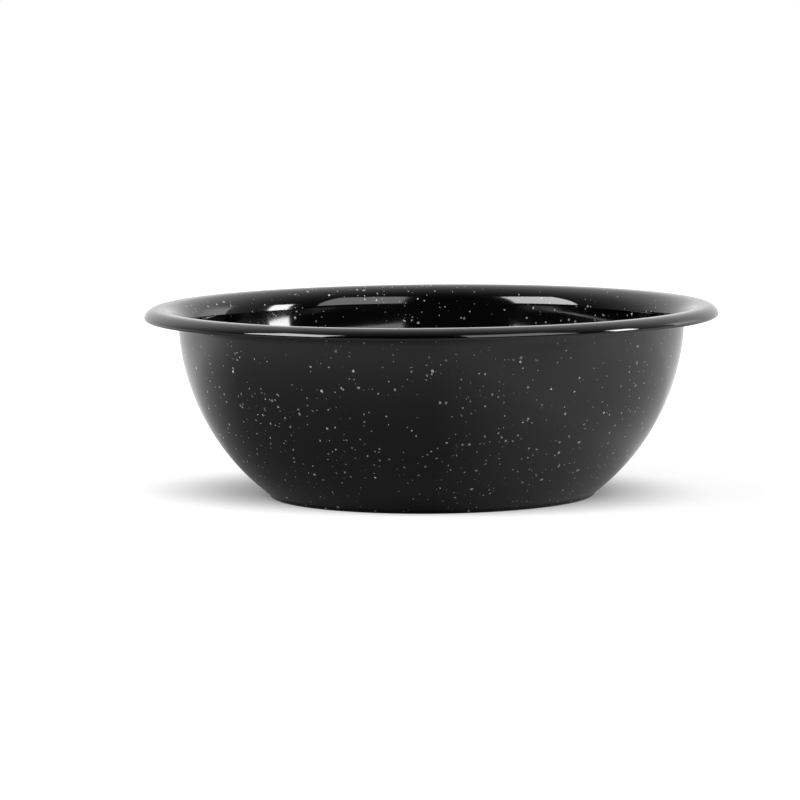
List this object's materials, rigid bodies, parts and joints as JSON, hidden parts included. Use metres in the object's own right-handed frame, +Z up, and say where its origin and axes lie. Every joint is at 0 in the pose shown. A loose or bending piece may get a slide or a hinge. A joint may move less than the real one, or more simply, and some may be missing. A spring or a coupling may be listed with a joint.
{
  "type": "enamel basin bowl",
  "caption": "Round flared steel basin with a small foot, an outward lip and a turned-down rim, coated in speckled black enamel, for washing, mixing or serving.",
  "frame": {"origin": "centre of the base, on the plane that the bowl stands on", "axes": "+Z up along the bowl's axis; the shape is turned, so X and Y are free, and the picture looks along +Y"},
  "size_m": [0.25, 0.25, 0.0831],
  "materials": {
    "sheet_steel": "pressed sheet, hidden under the enamel",
    "ground_enamel": "dark fired ground coat, hidden under the cover coat",
    "black_enamel": "glossy black fired enamel",
    "rim_enamel": "glossy plain black edging",
    "pale_enamel": "pale fired flecks"
  },
  "bodies": {
    "root": {"steel_body": "sheet_steel", "ground_coat_inside": "ground_enamel", "ground_coat_outside": "ground_enamel", "cover_coat_inside": "black_enamel", "cover_coat_outside": "black_enamel", "rim_coat": "rim_enamel", "flecks_inside": "pale_enamel", "flecks_outside": "pale_enamel"}
  },
  "joints": []
}
